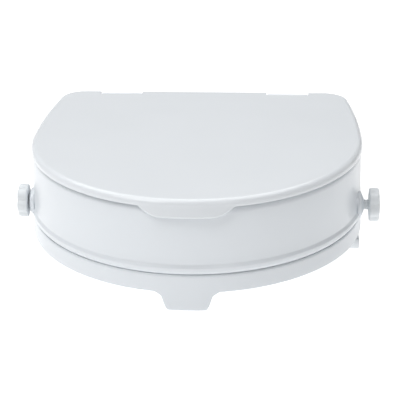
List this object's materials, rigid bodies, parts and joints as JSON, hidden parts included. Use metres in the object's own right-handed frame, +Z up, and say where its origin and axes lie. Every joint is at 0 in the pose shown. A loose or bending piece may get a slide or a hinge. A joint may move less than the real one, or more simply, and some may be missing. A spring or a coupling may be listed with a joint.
{
  "type": "raised toilet seat",
  "caption": "Raised toilet seat with a hinged lid, a deep hollow riser over a base ring, a splash skirt, a front locating tongue and side screw clamps with star knobs.",
  "frame": {"origin": "under the middle of the seat, on the plane of the splash skirt's foot and the tongue's tip", "axes": "+Z up through the aperture, -Y towards the seat's front, +X towards the seat's own right-hand side as the picture shows it"},
  "size_m": [0.4072, 0.387, 0.122],
  "materials": {
    "shell_white": "glossy moulded white plastic, very slightly cool",
    "lid_white": "glossy moulded white plastic with a smooth flat top",
    "clamp_white": "satin moulded white plastic",
    "soft_grey": "soft matt light grey rubber",
    "steel": "plain bright steel"
  },
  "bodies": {
    "seat": {"seat_shell": "shell_white", "base_ring": "shell_white", "splash_guard": "shell_white", "hinge_block_left": "shell_white", "hinge_block_right": "shell_white", "rim_pad_front_left": "soft_grey", "rim_pad_rear_left": "soft_grey", "spindle_nut_left": "steel", "hinge_screw_inner_left": "steel", "hinge_screw_outer_left": "steel", "ring_screw_front_left": "steel", "ring_screw_middle_left": "steel", "ring_screw_rear_left": "steel", "rim_pad_front_right": "soft_grey", "rim_pad_rear_right": "soft_grey", "spindle_nut_right": "steel", "hinge_screw_inner_right": "steel", "hinge_screw_outer_right": "steel", "ring_screw_front_right": "steel", "ring_screw_middle_right": "steel", "ring_screw_rear_right": "steel"},
    "lid": {"lid": "lid_white", "lid_buffer_front_left": "soft_grey", "lid_buffer_rear_left": "soft_grey", "hinge_pin_left": "steel", "lid_buffer_front_right": "soft_grey", "lid_buffer_rear_right": "soft_grey", "hinge_pin_right": "steel"},
    "clamp_left": {"clamp_bracket_left": "clamp_white", "clamp_pad_left": "soft_grey"},
    "clamp_right": {"clamp_bracket_right": "clamp_white", "clamp_pad_right": "soft_grey"},
    "knob_left": {"clamp_knob_left": "clamp_white", "clamp_spindle_left": "clamp_white", "spindle_retainer_left": "steel"},
    "knob_right": {"clamp_knob_right": "clamp_white", "clamp_spindle_right": "clamp_white", "spindle_retainer_right": "steel"}
  },
  "joints": [
    {"name": "lid_hinge", "type": "hinge", "parent": "seat", "child": "lid", "pos_m": [0, 0.187, 0.114], "axis": [-1, 0, 0], "range_deg": [0, 100]},
    {"name": "clamp_slide_right", "type": "slide", "parent": "seat", "child": "clamp_right", "axis": [1, 0, 0], "range_m": [-0.0054, 0.0045]},
    {"name": "knob_turn_right", "type": "hinge", "parent": "clamp_right", "child": "knob_right", "pos_m": [0.19, -0.018, 0.055], "axis": [1, 0, 0], "range_deg": [-648, 540]},
    {"name": "clamp_slide_left", "type": "slide", "parent": "seat", "child": "clamp_left", "axis": [-1, 0, 0], "range_m": [0, 0.0099]},
    {"name": "knob_turn_left", "type": "hinge", "parent": "clamp_left", "child": "knob_left", "pos_m": [-0.19, -0.018, 0.055], "axis": [-1, 0, 0], "range_deg": [0, 1188]}
  ],
  "couplings": [
    {"joint": "clamp_slide_right", "follows": "knob_turn_right", "m_per_rad": 0.000477},
    {"joint": "clamp_slide_left", "follows": "knob_turn_left", "m_per_rad": 0.000477}
  ]
}
